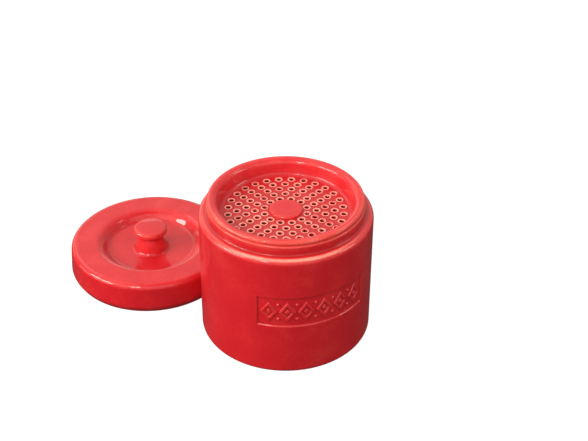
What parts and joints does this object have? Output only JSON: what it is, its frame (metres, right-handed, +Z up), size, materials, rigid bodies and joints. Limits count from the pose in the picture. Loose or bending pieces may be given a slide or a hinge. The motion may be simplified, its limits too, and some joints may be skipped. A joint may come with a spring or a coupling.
{
  "type": "bacon grease container",
  "caption": "Round glazed ceramic jar with a lift-out strainer cup in its neck, an ornament band on a sunk panel, and a loose knobbed lid lying beside it.",
  "frame": {"origin": "middle of the jar's flat foot, on the surface that the jar and the lid stand on", "axes": "+Z up along the axis of the jar and the strainer; -Y towards the front, where the ornament panel is; +X to the right seen from the front; the lid lies behind and to the left"},
  "size_m": [0.1853, 0.206, 0.1],
  "materials": {
    "jar_glaze": "gloss",
    "strainer_glaze": "gloss",
    "lid_glaze": "gloss"
  },
  "bodies": {
    "jar": {"jar": "jar_glaze"},
    "strainer": {"strainer": "strainer_glaze"},
    "lid": {"lid": "lid_glaze"}
  },
  "joints": [
    {"name": "strainer_lift", "type": "slide", "parent": "jar", "child": "strainer", "axis": [0, 0, 1], "range_m": [0, 0.04]},
    {"name": "lid_lift", "type": "slide", "parent": "jar", "child": "lid", "axis": [0, 0, 1], "range_m": [0, 0.12]}
  ]
}
